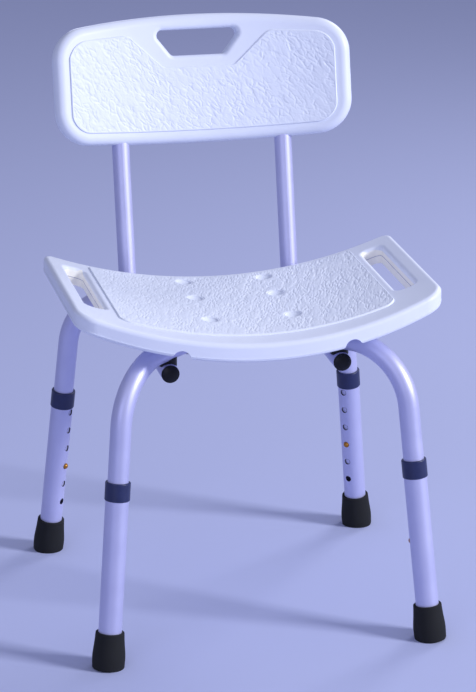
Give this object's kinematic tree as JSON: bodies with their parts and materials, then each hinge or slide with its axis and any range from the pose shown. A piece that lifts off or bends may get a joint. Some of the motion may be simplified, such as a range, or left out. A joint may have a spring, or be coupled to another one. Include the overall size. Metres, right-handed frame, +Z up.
{
  "type": "shower stool",
  "caption": "Shower stool: dished plastic seat with hand slots and drain dishes, wrapped backrest with a handle opening, crossed tube frame with telescoping splayed legs and rubber tips.",
  "frame": {"origin": "on the floor, at the middle of the overall bounding box in plan", "axes": "+Z up, +X to the sitter's left, -Y the way the sitter faces"},
  "size_m": [0.457, 0.4725, 0.6931],
  "materials": {
    "white_plastic": "blow-moulded white plastic with leather-grained raised panels",
    "tube": "satin anodised tube",
    "steel": "plain zinc-plated",
    "black_plastic": "moulded black plastic",
    "collar_plastic": "moulded dark blue-grey plastic",
    "rubber": "dark moulded rubber",
    "brass": "turned pin",
    "spring_steel": "plain spring steel"
  },
  "bodies": {
    "frame": {"seat_shell": "white_plastic", "backrest_shell": "white_plastic", "cross_tube_a": "tube", "cross_tube_b": "tube", "cross_rivet": "steel", "back_tube_left": "tube", "back_tube_right": "tube", "end_plug_left": "black_plastic", "end_plug_right": "black_plastic", "tube_saddles": "black_plastic", "seat_screws": "steel", "frame_bolts": "steel", "bolt_inserts": "steel", "backrest_screws": "steel", "button_spring_fl": "spring_steel", "button_spring_fr": "spring_steel", "button_spring_bl": "spring_steel", "button_spring_br": "spring_steel"},
    "leg_fl": {"leg_tube_fl": "tube", "leg_collar_fl": "collar_plastic", "foot_fl": "rubber"},
    "button_fl": {"snap_button_fl": "brass"},
    "leg_fr": {"leg_tube_fr": "tube", "leg_collar_fr": "collar_plastic", "foot_fr": "rubber"},
    "button_fr": {"snap_button_fr": "brass"},
    "leg_bl": {"leg_tube_bl": "tube", "leg_collar_bl": "collar_plastic", "foot_bl": "rubber"},
    "button_bl": {"snap_button_bl": "brass"},
    "leg_br": {"leg_tube_br": "tube", "leg_collar_br": "collar_plastic", "foot_br": "rubber"},
    "button_br": {"snap_button_br": "brass"}
  },
  "joints": [
    {"name": "leg_fl_slide", "type": "slide", "parent": "frame", "child": "leg_fl", "axis": [-0.0834, -0.0998, -0.9915], "range_m": [-0.0508, 0.0762], "deforming": ["snap_button_fl", "button_spring_fl"]},
    {"name": "button_fl_press", "type": "slide", "parent": "frame", "child": "button_fl", "axis": [-0.7303, -0.6709, 0.129], "range_m": [0, 0.0048], "stiffness_N_per_m": 2000, "springref_m": -0.001, "deforming": ["button_spring_fl"]},
    {"name": "leg_fr_slide", "type": "slide", "parent": "frame", "child": "leg_fr", "axis": [0.0834, -0.0998, -0.9915], "range_m": [-0.0508, 0.0762], "deforming": ["snap_button_fr", "button_spring_fr"]},
    {"name": "button_fr_press", "type": "slide", "parent": "frame", "child": "button_fr", "axis": [0.7303, -0.6709, 0.129], "range_m": [0, 0.0048], "stiffness_N_per_m": 2000, "springref_m": -0.001, "deforming": ["button_spring_fr"]},
    {"name": "leg_bl_slide", "type": "slide", "parent": "frame", "child": "leg_bl", "axis": [-0.0918, 0.0998, -0.9908], "range_m": [-0.0508, 0.0762], "deforming": ["snap_button_bl", "button_spring_bl"]},
    {"name": "button_bl_press", "type": "slide", "parent": "frame", "child": "button_bl", "axis": [-0.7292, 0.6708, 0.1351], "range_m": [0, 0.0048], "stiffness_N_per_m": 2000, "springref_m": -0.001, "deforming": ["button_spring_bl"]},
    {"name": "leg_br_slide", "type": "slide", "parent": "frame", "child": "leg_br", "axis": [0.0918, 0.0998, -0.9908], "range_m": [-0.0508, 0.0762], "deforming": ["snap_button_br", "button_spring_br"]},
    {"name": "button_br_press", "type": "slide", "parent": "frame", "child": "button_br", "axis": [0.7292, 0.6708, 0.1351], "range_m": [0, 0.0048], "stiffness_N_per_m": 2000, "springref_m": -0.001, "deforming": ["button_spring_br"]}
  ]
}
